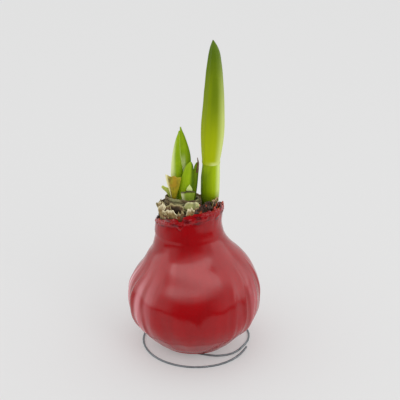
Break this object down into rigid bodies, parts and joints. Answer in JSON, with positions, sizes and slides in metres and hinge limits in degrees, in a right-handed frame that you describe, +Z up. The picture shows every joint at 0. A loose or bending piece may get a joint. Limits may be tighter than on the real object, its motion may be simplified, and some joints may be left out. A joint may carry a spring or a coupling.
{
  "type": "waxed amaryllis bulb",
  "caption": "Round flower bulb dipped in red wax, standing on a bent wire ring, with a torn wax rim, dry tunics, young leaves and a closed bud on a stalk.",
  "frame": {"origin": "on the floor, under the middle of the bulb, which is the bottom centre of the bounding box", "axes": "+X to the viewer's right, +Y away from the viewer, +Z up along the bulb, stalk and bud"},
  "size_m": [0.0896, 0.0896, 0.2104],
  "materials": {
    "steel_wire": "thin drawn steel wire, satin",
    "red_wax": "deep red candle wax, smooth and softly glossy",
    "bulb_flesh": "pale moist bulb flesh",
    "stem_green": "smooth green stalk, satin",
    "bud_green": "smooth yellow-green bracts, satin",
    "leaf_green": "smooth green leaf, satin",
    "cut_leaf_green": "cut green leaf base",
    "pale_scale": "pale green fleshy scale",
    "dried_sheath": "olive-brown leaf sheath, drying out",
    "papery_tunic": "thin dry cream skin, matt",
    "brown_tunic": "thin dry brown skin, matt",
    "dark_tunic": "dry brown-black skin, matt"
  },
  "bodies": {
    "root": {"wire_stand": "steel_wire", "wax_coat": "red_wax", "bulb": "bulb_flesh", "flower_stalk": "stem_green", "flower_bud": "bud_green", "neck_stump": "brown_tunic", "tunic_ring": "brown_tunic", "leaf_base_cut": "cut_leaf_green", "leaf_tip_new": "leaf_green", "leaf_middle": "leaf_green", "leaf_right": "leaf_green", "leaf_tall_front": "leaf_green", "leaf_tall_back": "leaf_green", "leaf_short": "leaf_green", "leaf_sheath": "dried_sheath", "neck_scale": "pale_scale", "flake_left": "papery_tunic", "flake_front_left": "papery_tunic", "flake_front": "papery_tunic", "flake_red": "dark_tunic", "flake_dark": "dark_tunic", "flake_brown": "brown_tunic", "flake_back_left": "brown_tunic", "flake_back": "papery_tunic"}
  },
  "joints": []
}
